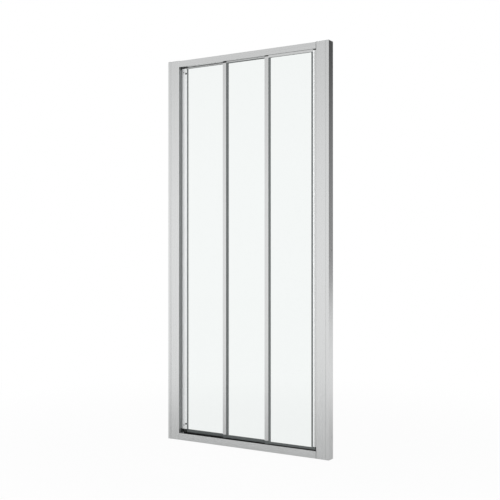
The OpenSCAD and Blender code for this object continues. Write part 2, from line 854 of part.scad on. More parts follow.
module fixed_edge_profile() {
    tongue_w = floor_x - 2 * fit_gap - fixed_x1;
    tongue_y = channel_w / 2 - lip_gap;
    color("gainsboro") translate([fixed_x1, fixed_y, 0]) mirror([1, 0, 0])
        upright(stile_z0, stile_z1) difference() {
            union() {
                edge_outline();
                rect(-tongue_w, -tongue_y, eps, tongue_y);
            }
            rect(edge_w - pocket_d, -pocket_w / 2, edge_w + eps, pocket_w / 2);
            rect(stile_wall - tongue_w, stile_wall - tongue_y,
                edge_w - pocket_d - stile_wall, tongue_y - stile_wall);
        }
}

module fixed_top_rail() {
    color("gainsboro") top_rail(fixed_x0 + stile_w, edge_x0, fixed_y, fixed_rail_z);
}

module fixed_bottom_rail() {
    color("dimgray") bottom_rail(fixed_x0 + stile_w, edge_x0, fixed_y, fixed_base_z);
}

module fixed_stile_caps() {
    glass_top = fixed_rail_z + rail_embed;
    color("dimgray") {
        translate([fixed_x0, fixed_y, 0])
            stile_cap_pair(stile_w, fixed_base_z, glass_top, 0) cap_outline();
        translate([fixed_x1, fixed_y, 0]) mirror([1, 0, 0])
            stile_cap_pair(edge_w, fixed_base_z, glass_top, 0) edge_outline();
    }
}

// Rubber that closes the gap between the fixed panel and the sill's front wall
module fixed_bottom_seal() {
    color("black") block([fixed_x0, fixed_y - panel_t / 2 + fixed_seal_in, panel_z0 - fixed_seal_h],
        [fixed_x1, support_y - support_t / 2 - lip_gap, panel_z0]);
}

// Blocks that tie the fixed panel's rails to the header and the sill

function support_xs() = [
    fixed_x0 + stile_w + support_in + support_l / 2,
    edge_x0 - support_in - support_l / 2
];
function support_screw_l() = 12;

module at_top_supports() {
    for (x = support_xs()) {
        translate([x, support_y, header_top]) children();
    }
}

module at_bottom_supports() {
    for (x = support_xs()) {
        translate([x, support_y, 0]) rotate([180, 0, 0]) children();
    }
}

module fixed_supports() {
    color("gray") difference() {
        for (x = support_xs(), z = [[track_plate, panel_z0], [rail_top_z, header_top - track_plate]]) {
            block([x - support_l / 2, support_y - support_t / 2, z[0]],
                [x + support_l / 2, support_y + support_t / 2, z[1]]);
        }
        at_top_supports() countersink(support_screw_l());
        at_bottom_supports() countersink(support_screw_l());
    }
}

module fixed_support_screws() {
    color("dimgray") {
        at_top_supports() countersunk(support_screw_l());
        at_bottom_supports() countersunk(support_screw_l());
    }
}

// Middle panel

module middle_glass() {
    color("azure")
        pane(middle_x0 + stile_w, middle_x1 - stile_w, middle_y, slider_base_z, slider_rail_z);
}

module middle_glass_gasket() {
    color("dimgray") pane_gasket(middle_x0 + stile_w, middle_x1 - stile_w, middle_y, slider_base_z,
        slider_rail_z, gasket_show, slider_gasket_show);
}

module middle_left_stile() {
    color("gainsboro") difference() {
        translate([middle_x0, middle_y, 0]) upright(stile_z0, stile_z1) {
            left_stile_section(stile_w);
            fin_section(0, 1);
            fin_section(stile_w - fin_t, -1);
        }
        stile_screw_holes(middle_left_x, middle_y);
    }
}

module middle_right_stile() {
    color("gainsboro") difference() {
        translate([middle_x1, middle_y, 0]) mirror([1, 0, 0]) upright(stile_z0, stile_z1) {
            left_stile_section(stile_w);
            fin_section(stile_w - 2 * fin_t - stop_gap, -1);
        }
        stile_screw_holes(middle_right_x, middle_y);
    }
}

module middle_top_rail() {
    color("gainsboro")
        top_rail(middle_x0 + stile_w, middle_x1 - stile_w, middle_y, slider_rail_z);
}

module middle_bottom_rail() {
    color("dimgray") bottom_rail(middle_x0 + stile_w, middle_x1 - stile_w, middle_y, slider_base_z);
}

module middle_stile_caps() {
    glass_top = slider_rail_z + rail_embed;
    color("dimgray") {
        translate([middle_x0, middle_y, 0])
            stile_cap_pair(stile_w, slider_base_z, glass_top, chamber_mid) cap_outline();
        translate([middle_x1, middle_y, 0]) mirror([1, 0, 0])
            stile_cap_pair(stile_w, slider_base_z, glass_top, chamber_mid) cap_outline();
    }
}

// Rubber strip on the front of a right stile, which wipes the back of the next panel's stile
module overlap_seal(x1, y) {
    front_y = y - panel_t / 2;
    seal_x = x1 - overlap_seal_in;
    block([seal_x - overlap_seal_w, front_y - (track_pitch - panel_t - lip_gap), stile_z0],
        [seal_x, front_y, stile_z1]);
}

module middle_overlap_seal() {
    color("black") overlap_seal(middle_x1, middle_y);
}

module middle_top_carriages() {
    color("dimgray") {
        ordinary_carriage(middle_x0, 1, middle_y, stile_z1, top_axle_z);
        ordinary_carriage(middle_x1, -1, middle_y, stile_z1, top_axle_z);
    }
}

module middle_bottom_carriages() {
    color("dimgray") {
        ordinary_carriage(middle_x0, 1, middle_y, stile_z0, axle_z);
        ordinary_carriage(middle_x1, -1, middle_y, stile_z0, axle_z);
    }
}

module middle_carriage_screws() {
    color("silver") for (x = [middle_left_x, middle_right_x]) {
        stile_screws(x, middle_y);
    }
}

module middle_roller_axles() {
    color("silver") for (x = [middle_left_x, middle_right_x], z = [axle_z, top_axle_z]) {
        axle(x, middle_y, z);
    }
}

// Closing panel

module closing_glass() {
    color("azure")
        pane(closing_x0 + handle_w, closing_x1 - stile_w, closing_y, slider_base_z, slider_rail_z);
}

module closing_glass_gasket() {
    color("dimgray") pane_gasket(closing_x0 + handle_w, closing_x1 - stile_w, closing_y,
        slider_base_z, slider_rail_z, handle_gasket_show, slider_gasket_show);
}

module handle_stile() {
    color("gainsboro") translate([closing_x0, closing_y, 0])
        upright(stile_z0 + block_h, stile_z1 - block_h) handle_section();
}

// Sunk screws on the front of the handle blocks, with their heads at z = 0
module at_block_screws() {
    head_y = closing_y + handle_face_y(handle_axle_in) + block_screw_sink;
    for (z = [stile_z0 + block_screw_in, stile_z1 - block_screw_in]) {
        translate([closing_left_x, head_y, z]) rotate([90, 0, 0]) children();
    }
}

module handle_blocks() {
    access_x = closing_x0 + handle_w - access_r - access_edge;
    front_y = closing_y - panel_t / 2 - handle_bulge;
    color("lightgray") difference() {
        translate([closing_x0, closing_y, 0]) {
            upright(stile_z0, stile_z0 + block_h) handle_section();
            upright(stile_z1 - block_h, stile_z1) handle_section();
        }
        for (z = [stile_z0 + access_in, stile_z1 - access_in]) {
            bar_y(access_x, front_y - eps, front_y + access_depth, z, access_r);
        }
        at_block_screws() {
            bar_z(0, 0, -block_head_h, 2 * eps, block_head_r + hole_gap);
            bar_z(0, 0, -block_screw_l, eps, screw_r + hole_gap);
        }
    }
}

module closing_right_stile() {
    color("gainsboro") difference() {
        translate([closing_x1, closing_y, 0]) mirror([1, 0, 0]) upright(stile_z0, stile_z1) {
            left_stile_section(stile_w);
            fin_section(stile_w - 2 * fin_t - stop_gap, -1);
        }
        stile_screw_holes(closing_right_x, closing_y);
    }
}

module closing_top_rail() {
    color("gainsboro")
        top_rail(closing_x0 + handle_w, closing_x1 - stile_w, closing_y, slider_rail_z);
}

module closing_bottom_rail() {
    color("dimgray") bottom_rail(closing_x0 + handle_w, closing_x1 - stile_w, closing_y, slider_base_z);
}

module closing_stile_caps() {
    glass_top = slider_rail_z + rail_embed;
    color("dimgray") {
        translate([closing_x0, closing_y, 0])
            stile_cap_pair(handle_w, slider_base_z, glass_top, handle_mid) handle_outline();
        translate([closing_x1, closing_y, 0]) mirror([1, 0, 0])
            stile_cap_pair(stile_w, slider_base_z, glass_top, chamber_mid) cap_outline();
    }
}

module closing_overlap_seal() {
    color("black") overlap_seal(closing_x1, closing_y);
}

// Magnet strips that hold the closed panel in the left jamb's channel

module closing_magnet_strip() {
    strip_x = -floor_x + jamb_magnet_t + lip_gap;
    color("dimgray") block([strip_x, closing_y - magnet_w / 2, panel_z0 - magnet_drop],
        [closing_x0, closing_y + magnet_w / 2, stile_z1]);
}

module jamb_magnet_strip() {
    color("dimgray") block([-floor_x, closing_y - magnet_w / 2, stile_z0],
        [jamb_magnet_t - floor_x, closing_y + magnet_w / 2, stile_z1]);
}

module handle_carriage(end_z, axle_at) {
    half_stem = (handle_chamber_u1 - chamber_u0) / 2 - fit_gap;
    stem_y0 = handle_chamber_y0 + fit_gap;
    stem = block_screw_in + block_grip;
    mid_x = closing_x0 + handle_mid;
    carriage(mid_x, closing_left_x, closing_y, half_stem, stem_y0, stem, end_z, axle_at);
}

module closing_top_carriages() {
    color("dimgray") difference() {
        union() {
            handle_carriage(stile_z1, top_axle_z);
            ordinary_carriage(closing_x1, -1, closing_y, stile_z1, top_axle_z);
        }
        at_block_screws() bar_z(0, 0, -block_screw_l - hole_gap, eps, screw_r + hole_gap);
    }
}

module closing_bottom_carriages() {
    color("dimgray") difference() {
        union() {
            handle_carriage(stile_z0, axle_z);
            ordinary_carriage(closing_x1, -1, closing_y, stile_z0, axle_z);
        }
        at_block_screws() bar_z(0, 0, -block_screw_l - hole_gap, eps, screw_r + hole_gap);
    }
}

module closing_carriage_screws() {
    color("silver") {
        stile_screws(closing_right_x, closing_y);
        at_block_screws() difference() {
            union() {
                bar_z(0, 0, -block_head_h, 0, block_head_r);
                bar_z(0, 0, -block_screw_l, 0, screw_r);
            }
            drive_slot(block_head_r);
        }
    }
}

module closing_roller_axles() {
    color("silver") for (x = [closing_left_x, closing_right_x], z = [axle_z, top_axle_z]) {
        axle(x, closing_y, z);
    }
}

// Rollers, eight alike

module middle_roller_top_left() {
    color("white") roller(middle_left_x, middle_y, top_axle_z);
}

module middle_roller_top_right() {
    color("white") roller(middle_right_x, middle_y, top_axle_z);
}

module middle_roller_bottom_left() {
    color("white") roller(middle_left_x, middle_y, axle_z);
}

module middle_roller_bottom_right() {
    color("white") roller(middle_right_x, middle_y, axle_z);
}

module closing_roller_top_left() {
    color("white") roller(closing_left_x, closing_y, top_axle_z);
}

module closing_roller_top_right() {
    color("white") roller(closing_right_x, closing_y, top_axle_z);
}

module closing_roller_bottom_left() {
    color("white") roller(closing_left_x, closing_y, axle_z);
}

module closing_roller_bottom_right() {
    color("white") roller(closing_right_x, closing_y, axle_z);
}

left_wall_profile();
right_wall_profile();
wall_profile_caps();
left_jamb();
right_jamb();
jamb_caps();
jamb_covers();
header_track();
header_cover();
sill_track();
header_running_strips();
sill_running_strips();
sill_rear_seal();
jamb_magnet_strip();
corner_screws();
jamb_fixing_screws();
fixed_bottom_seal();
fixed_glass();
fixed_glass_gasket();
fixed_stile();
fixed_edge_profile();
fixed_top_rail();
fixed_bottom_rail();
fixed_stile_caps();
fixed_supports();
fixed_support_screws();
middle_glass();
middle_glass_gasket();
middle_left_stile();
middle_right_stile();
middle_top_rail();
middle_bottom_rail();
middle_stile_caps();
middle_overlap_seal();
middle_top_carriages();
middle_bottom_carriages();
middle_carriage_screws();
middle_roller_axles();
closing_glass();
closing_glass_gasket();
handle_stile();
handle_blocks();
closing_right_stile();
closing_top_rail();
closing_bottom_rail();
closing_stile_caps();
closing_overlap_seal();
closing_magnet_strip();
closing_top_carriages();
closing_bottom_carriages();
closing_carriage_screws();
closing_roller_axles();
middle_roller_top_left();
middle_roller_top_right();
middle_roller_bottom_left();
middle_roller_bottom_right();
closing_roller_top_left();
closing_roller_top_right();
closing_roller_bottom_left();
closing_roller_bottom_right();
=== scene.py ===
"""Looks, light and camera of a framed sliding shower door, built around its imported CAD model."""
import math

import bmesh
import bpy
from bpy.props import FloatProperty, FloatVectorProperty, PointerProperty
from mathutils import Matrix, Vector


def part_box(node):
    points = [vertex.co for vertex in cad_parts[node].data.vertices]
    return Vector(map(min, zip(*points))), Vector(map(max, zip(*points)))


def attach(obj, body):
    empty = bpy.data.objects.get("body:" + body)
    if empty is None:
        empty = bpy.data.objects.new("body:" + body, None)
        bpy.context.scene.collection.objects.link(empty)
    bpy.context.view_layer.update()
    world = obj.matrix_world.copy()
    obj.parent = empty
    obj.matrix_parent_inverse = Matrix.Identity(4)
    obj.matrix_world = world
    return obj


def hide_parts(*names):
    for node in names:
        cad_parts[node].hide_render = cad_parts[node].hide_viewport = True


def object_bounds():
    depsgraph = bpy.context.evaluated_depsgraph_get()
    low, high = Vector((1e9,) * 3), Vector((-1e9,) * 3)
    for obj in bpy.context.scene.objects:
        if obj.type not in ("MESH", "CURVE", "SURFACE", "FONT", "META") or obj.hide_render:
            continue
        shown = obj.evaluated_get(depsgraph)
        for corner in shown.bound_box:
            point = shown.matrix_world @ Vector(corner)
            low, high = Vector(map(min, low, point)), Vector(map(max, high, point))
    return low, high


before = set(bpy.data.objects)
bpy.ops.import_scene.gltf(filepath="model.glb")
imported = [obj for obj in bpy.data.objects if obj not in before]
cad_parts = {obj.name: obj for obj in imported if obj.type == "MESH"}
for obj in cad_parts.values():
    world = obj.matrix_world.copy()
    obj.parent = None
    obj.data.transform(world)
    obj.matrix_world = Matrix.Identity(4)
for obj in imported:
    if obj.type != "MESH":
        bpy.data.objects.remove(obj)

CAD_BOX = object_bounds()
MM = 0.001

bl_info = {
    "name": "Sliding shower door",
    "version": (1, 0, 0),
    "blender": (4, 5, 0),
    "location": "3D View > Sidebar > Shower Door",
    "description": "Dresses the door's metal, glass, rubber and plastic, and sets its studio",
    "category": "Object",
}


def from_hex(code):
    """Turns an sRGB hex colour into linear red, green, blue and alpha."""
    channels = [int(code[i:i + 2], 16) / 255 for i in (1, 3, 5)]
    linear = [c / 12.92 if c <= 0.04045 else ((c + 0.055) / 1.055) ** 2.4 for c in channels]
    return (*linear, 1.0)


def colour(name, description, code):
    """A colour property whose default is an sRGB hex value."""
    return FloatVectorProperty(name=name, description=description, subtype="COLOR", size=4,
                               min=0.0, max=1.0, default=from_hex(code))


class DoorFinish(bpy.types.PropertyGroup):
    """Colours of the door's metals, plastics and rubbers."""
    aluminium: colour("Aluminium", "Silver anodised aluminium of the frame and stiles", "#D9DADA")
    handle: colour("Handle", "Brighter satin finish of the handle stile", "#F2F4F4")
    glass: colour("Glass", "Tint of the clear float glass", "#F4F7F6")
    gasket: colour("Gasket", "Rubber around the glass", "#6A6E6E")
    seal_and_gap_shade: colour("Seal", "Rubber of the lip seals", "#181919")
    magnet: colour("Magnet strip", "Soft carrier of the magnet strips", "#6E7373")
    moulding: colour("Grey moulding", "Plastic of the caps on the frame", "#C4C6C6")
    block: colour("Handle block", "Pale plastic of the handle blocks", "#E8EAEA")
    rail: colour("Dark rail", "Plastic of the bottom rails and feet", "#575B5B")
    cap: colour("Stile cap", "Plastic of the caps on top of the stiles", "#1B1C1C")
    cover: colour("Jamb cover", "Plastic of the covers in the jambs' channels", "#868989")
    carriage: colour("Carriage", "Plastic of the roller carriages and supports", "#2A2C2C")
    roller: colour("Roller", "Nylon of the rollers", "#E4E3DE")
    strip: colour("Running strip", "Nylon of the running strips", "#1E1F1F")
    black: colour("Black screw", "Black zinc of the closing panel's screws", "#202121")
    screw: colour("Screw", "Zinc of the screws and axle pins", "#B4B5B3")


class DoorStudio(bpy.types.PropertyGroup):
    """Camera, lamps and floor of the studio."""
    camera_place: FloatVectorProperty(
        name="Camera", description="Place of the camera", size=3, subtype="XYZ", unit="LENGTH",
        default=(2.193, -3.5525, 0.942))
    camera_turn: FloatProperty(
        name="Camera turn", description="Turn of the camera to the left", subtype="ANGLE",
        default=math.radians(31.452))
    lens: FloatProperty(
        name="Lens", description="Focal length of the camera", unit="CAMERA", default=62.57)
    horizon_shift: FloatProperty(
        name="Horizon shift", description="Rise of the view in widths of the picture",
        default=0.0036)
    floor_radius: FloatProperty(
        name="Floor radius", description="Radius of the pale floor", unit="LENGTH", default=14.0)
    softbox: FloatProperty(
        name="Softbox", description="Side of each square softbox", unit="LENGTH", default=1.6)
    key_power: FloatProperty(
        name="Key light", description="Power of the softbox at the left", unit="POWER",
        default=40.0)
    fill_power: FloatProperty(
        name="Fill light", description="Power of the softbox at the right", unit="POWER",
        default=55.0)


def props(kind):
    """The settings of the door's finish or of its studio."""
    return getattr(bpy.context.scene, "door_" + kind)


# Materials

# Range that most of the noise texture's values lie in
NOISE_RANGE = {"From Min": 0.25, "From Max": 0.75}


def add_node(tree, kind, settings=None, inputs=None):
    """Adds a node with its settings, and gives each input a value or a link."""
    node = tree.nodes.new(kind)
    for key, value in (settings or {}).items():
        setattr(node, key, value)
    for key, value in (inputs or {}).items():
        if isinstance(value, bpy.types.NodeSocket):
            tree.links.new(value, node.inputs[key])
        else:
            node.inputs[key].default_value = value
    return node


def new_material(name):
    """A material with an empty node tree, and that tree."""
    material = bpy.data.materials.new(name)
    material.use_nodes = True
    material.node_tree.nodes.clear()
    return material, material.node_tree


def finish_material(tree, shader):
    """Links a shader to the material's output."""
    output = tree.nodes.new("ShaderNodeOutputMaterial")
    tree.links.new(shader.outputs[0], output.inputs["Surface"])


def grain(tree, spacing, detail=2.0):
    """Noise whose grains have the given size in metres along X, Y and Z."""
    place = add_node(tree, "ShaderNodeTexCoord").outputs["Object"]
    scaled = add_node(tree, "ShaderNodeMapping", inputs={
        "Vector": place, "Scale": [1 / s for s in spacing]})
    return add_node(tree, "ShaderNodeTexNoise", inputs={
        "Vector": scaled.outputs[0], "Scale": 1.0, "Detail": detail}).outputs["Fac"]


def shaded(tree, base, value, low):
    """A colour that noise makes darker, down to a share of itself."""
    shade = add_node(tree, "ShaderNodeMapRange", inputs={
        "Value": value, **NOISE_RANGE, "To Min": low, "To Max": 1.0})
    return add_node(tree, "ShaderNodeMix", {"data_type": "RGBA", "blend_type": "MULTIPLY"}, {
        "Factor": 1.0, "A": base, "B": shade.outputs["Result"]}).outputs["Result"]


def anodised_aluminium(name, along):
    """Extruded aluminium, etched and clear anodised: cool satin silver with faint die lines."""
    material, tree = new_material(name)
    # Painted shade: the base colour darkens in grooves and joints, where the ambient occlusion
    # finds them hemmed in
    open_sky = add_node(tree, "ShaderNodeAmbientOcclusion", {"samples": 8}, {"Distance": 4 * MM})
    painted_groove_shade = add_node(tree, "ShaderNodeMapRange", inputs={
        "Value": open_sky.outputs["AO"], "From Min": 0.4, "From Max": 0.9,
        "To Min": 0.72, "To Max": 1.0})
    base_with_painted_shade = add_node(tree, "ShaderNodeMix", {"data_type": "RGBA", "blend_type": "MULTIPLY"}, {
        "Factor": 1.0, "A": props("finish").aluminium, "B": painted_groove_shade.outputs["Result"]})
    # Die lines are finer than 1 mm; they are 2.5 mm apart here so that they show at all
    spacing = [2.5 * MM] * 3
    spacing[along] = 600 * MM
    lines = grain(tree, spacing)
    gloss = add_node(tree, "ShaderNodeMapRange", inputs={
        "Value": lines, **NOISE_RANGE, "To Min": 0.23, "To Max": 0.30})
    etch = add_node(tree, "ShaderNodeBump", inputs={
        "Strength": 0.06, "Distance": 0.02 * MM, "Height": grain(tree, [1.2 * MM] * 3)})
    shader = add_node(tree, "ShaderNodeBsdfPrincipled", inputs={
        "Base Color": shaded(tree, base_with_painted_shade.outputs["Result"], lines, 0.965),
        "Metallic": 1.0,
        "Roughness": gloss.outputs["Result"],
        "Normal": etch.outputs["Normal"],
    })
    finish_material(tree, shader)
    return material


def satin_lacquer(name):
    """Aluminium under clear satin lacquer: it takes light from all sides and mirrors softly."""
    material, tree = new_material(name)
    orange_peel = grain(tree, [1.2 * MM] * 3)
    gloss = add_node(tree, "ShaderNodeMapRange", inputs={
        "Value": orange_peel, **NOISE_RANGE, "To Min": 0.34, "To Max": 0.42})
    relief = add_node(tree, "ShaderNodeBump", inputs={
        "Strength": 0.06, "Distance": 0.02 * MM, "Height": orange_peel})
    shader = add_node(tree, "ShaderNodeBsdfPrincipled", inputs={
        "Base Color": shaded(tree, props("finish").handle, grain(tree, [14 * MM] * 3), 0.97),
        "Metallic": 0.1,
        "Roughness": gloss.outputs["Result"],
        "Normal": relief.outputs["Normal"],
    })
    finish_material(tree, shader)
    return material


def moulded_plastic(name, base, roughness):
    """Injection moulded plastic with a fine spark-eroded grain, which softens its gloss."""
    material, tree = new_material(name)
    spark_grain = grain(tree, [0.6 * MM] * 3)
    gloss = add_node(tree, "ShaderNodeMapRange", inputs={
        "Value": spark_grain, **NOISE_RANGE,
        "To Min": roughness - 0.05, "To Max": roughness + 0.05})
    relief = add_node(tree, "ShaderNodeBump", inputs={
        "Strength": 0.15, "Distance": 0.03 * MM, "Height": spark_grain})
    shader = add_node(tree, "ShaderNodeBsdfPrincipled", inputs={
        "Base Color": shaded(tree, base, grain(tree, [14 * MM] * 3), 0.94),
        "Roughness": gloss.outputs["Result"],
        "IOR": 1.49,
        "Normal": relief.outputs["Normal"],
    })
    finish_material(tree, shader)
    return material


def cover_plastic(name, base, ends, low, high):
    """Extruded grey plastic strip, smooth and half matt, with its ends beyond two heights painted
    black as the shade in the corners.
    """
    material, tree = new_material(name)
    place = add_node(tree, "ShaderNodeTexCoord").outputs["Object"]
    height = add_node(tree, "ShaderNodeSeparateXYZ", inputs={"Vector": place}).outputs["Z"]
    between = add_node(tree, "ShaderNodeMath", {"operation": "COMPARE"}, {
        0: height, 1: (low + high) / 2, 2: (high - low) / 2}).outputs[0]
    tone = add_node(tree, "ShaderNodeMix", {"data_type": "RGBA"}, {
        "Factor": between, "A": ends, "B": base}).outputs["Result"]
    shader = add_node(tree, "ShaderNodeBsdfPrincipled", inputs={
        "Base Color": shaded(tree, tone, grain(tree, [14 * MM] * 3), 0.94),
        "Roughness": 0.45,
        "IOR": 1.49,
    })
    finish_material(tree, shader)
    return material


def extruded_rubber(name, base, along=2):
    """Extruded rubber: matt, with draw lines along its length and a dusty bloom."""
    material, tree = new_material(name)
    spacing = [0.5 * MM] * 3
    spacing[along] = 60 * MM
    lines = grain(tree, spacing)
    gloss = add_node(tree, "ShaderNodeMapRange", inputs={
        "Value": lines, **NOISE_RANGE, "To Min": 0.52, "To Max": 0.66})
    relief = add_node(tree, "ShaderNodeBump", inputs={
        "Strength": 0.2, "Distance": 0.04 * MM, "Height": lines})
    shader = add_node(tree, "ShaderNodeBsdfPrincipled", inputs={
        "Base Color": shaded(tree, base, grain(tree, [30 * MM] * 3), 0.9),
        "Roughness": gloss.outputs["Result"],
        "IOR": 1.51,
        "Normal": relief.outputs["Normal"],
    })
    finish_material(tree, shader)
    return material


def float_glass(name):
    """Clear toughened float glass: colourless from the front, a breath of green, mirror smooth."""
    material, tree = new_material(name)
    # Toughening leaves a slight roll wave, about 250 mm from crest to crest
    wave = add_node(tree, "ShaderNodeBump", inputs={
        "Strength": 0.02, "Distance": 0.05 * MM,
        "Height": grain(tree, [400 * MM, 400 * MM, 250 * MM], 0.0)})
    shader = add_node(tree, "ShaderNodeBsdfPrincipled", inputs={
        "Base Color": props("finish").glass,
        "Roughness": 0.0,
        "IOR": 1.52,
        "Transmission Weight": 1.0,
        "Normal": wave.outputs["Normal"],
    })
    finish_material(tree, shader)
    return material


def zinc_steel(name):
    """Zinc-plated steel: a bright grey metal, slightly cloudy."""
    material, tree = new_material(name)
    cloud = grain(tree, [1.5 * MM] * 3)
    gloss = add_node(tree, "ShaderNodeMapRange", inputs={
        "Value": cloud, **NOISE_RANGE, "To Min": 0.22, "To Max": 0.38})
    shader = add_node(tree, "ShaderNodeBsdfPrincipled", inputs={
        "Base Color": shaded(tree, props("finish").screw, cloud, 0.85),
        "Metallic": 1.0,
        "Roughness": gloss.outputs["Result"],
    })
    finish_material(tree, shader)
    return material


def black_steel(name):
    """Black passivated zinc on steel: a dark metal that shows only its highlights."""
    material, tree = new_material(name)
    shader = add_node(tree, "ShaderNodeBsdfPrincipled", inputs={
        "Base Color": shaded(tree, props("finish").black, grain(tree, [1.5 * MM] * 3), 0.8),
        "Metallic": 1.0,
        "Roughness": 0.35,
    })
    finish_material(tree, shader)
    return material


# Meshes

def new_piece(name, points, faces, material, body, nodes):
    """Makes a mesh piece that rides on a body and stands for CAD nodes."""
    mesh = bpy.data.meshes.new(name)
    mesh.from_pydata([tuple(p) for p in points], [], faces)
    build = bmesh.new()
    build.from_mesh(mesh)
    bmesh.ops.recalc_face_normals(build, faces=build.faces)
    build.to_mesh(mesh)
    build.free()
    mesh.materials.append(material)
    piece = bpy.data.objects.new(name, mesh)
    bpy.context.scene.collection.objects.link(piece)
    mesh.shade_smooth()
    mesh.set_sharp_from_angle(angle=math.radians(35))
    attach(piece, body)
    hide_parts(*nodes)
    return piece


def rings_to_faces(count, size, closed_along=False):
    """Faces between rings of points that follow each other, each ring a closed loop."""
    faces = []
    last = count if closed_along else count - 1
    for ring in range(last):
        a, b = ring * size, (ring + 1) % count * size
        for i in range(size):
            j = (i + 1) % size
            faces.append((a + i, a + j, b + j, b + i))
    return faces


def prism(profile, low, high, place):
    """Points and faces of a profile drawn out from low to high, with both ends closed."""
    size = len(profile)
    points = [place(u, v, w) for w in (low, high) for u, v in profile]
    faces = rings_to_faces(2, size)
    faces.append(tuple(range(size)))
    faces.append(tuple(range(2 * size - 1, size - 1, -1)))
    return points, faces


def arc(cx, cy, radius, start, end, steps):
    """Points along an arc, by angles in degrees."""
    turns = [math.radians(start + (end - start) * i / steps) for i in range(steps + 1)]
    return [(cx + radius * math.cos(t), cy + radius * math.sin(t)) for t in turns]


def ribbed(width, base, height, ribs):
    """Outline of a rubber strip with rounded ribs on its face, from u = 0 to its width."""
    pitch = width / ribs
    crown = 0.38 * pitch
    outline = [(0.0, 0.0), (0.0, base)]
    for rib in range(ribs):
        middle = (rib + 0.5) * pitch
        for turn in range(0, 181, 20):
            t = math.radians(turn)
            outline.append((middle - crown * math.cos(t), base + (height - base) * math.sin(t)))
    return outline + [(width, base), (width, 0.0)]


def dress(material, *nodes, second=None, where=None):
    """Gives CAD nodes with the right shape a material, and some of their faces a second one."""
    for node in nodes:
        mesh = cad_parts[node].data
        mesh.materials.clear()
        mesh.materials.append(material)
        if second:
            mesh.materials.append(second)
            for face in mesh.polygons:
                face.material_index = int(where(face))


# Operators

PANELS = {"fixed": "frame", "middle": "middle_panel", "closing": "closing_panel"}

# How much further than the CAD rubber the soft lips reach onto the glass, in mm: at the left, the
# right, the bottom and the top
LIPS = {"fixed": (0.7, 0.6, 0.0, 0.0), "middle": (0.7, 0.0, 0.0, 1.8),
        "closing": (0.9, 0.0, 0.0, -1.0)}

# Heights between which the covers in the jambs' channels are grey; their ends are painted black as
# the shade in the corners at the sill and header
COVER_GREY = (0.054, 1.857)

# Walls of the studio as the metal mirrors them: heading, cosine to their edge and to their
# middle, and how much brighter or darker than white they are
WALLS = (
    ((0.52, 0.85, 0.0), 0.60, 0.95, -0.67),
    ((-1.0, 0.1, 0.0), 0.80, 0.98, -0.20),
    ((-0.8, -0.6, 0.0), 0.85, 0.98, 0.10),
    ((0.5, -0.85, 0.0), 0.50, 0.95, 0.35),
    ((0.0, 0.0, 1.0), 0.05, 0.30, -0.32),
)


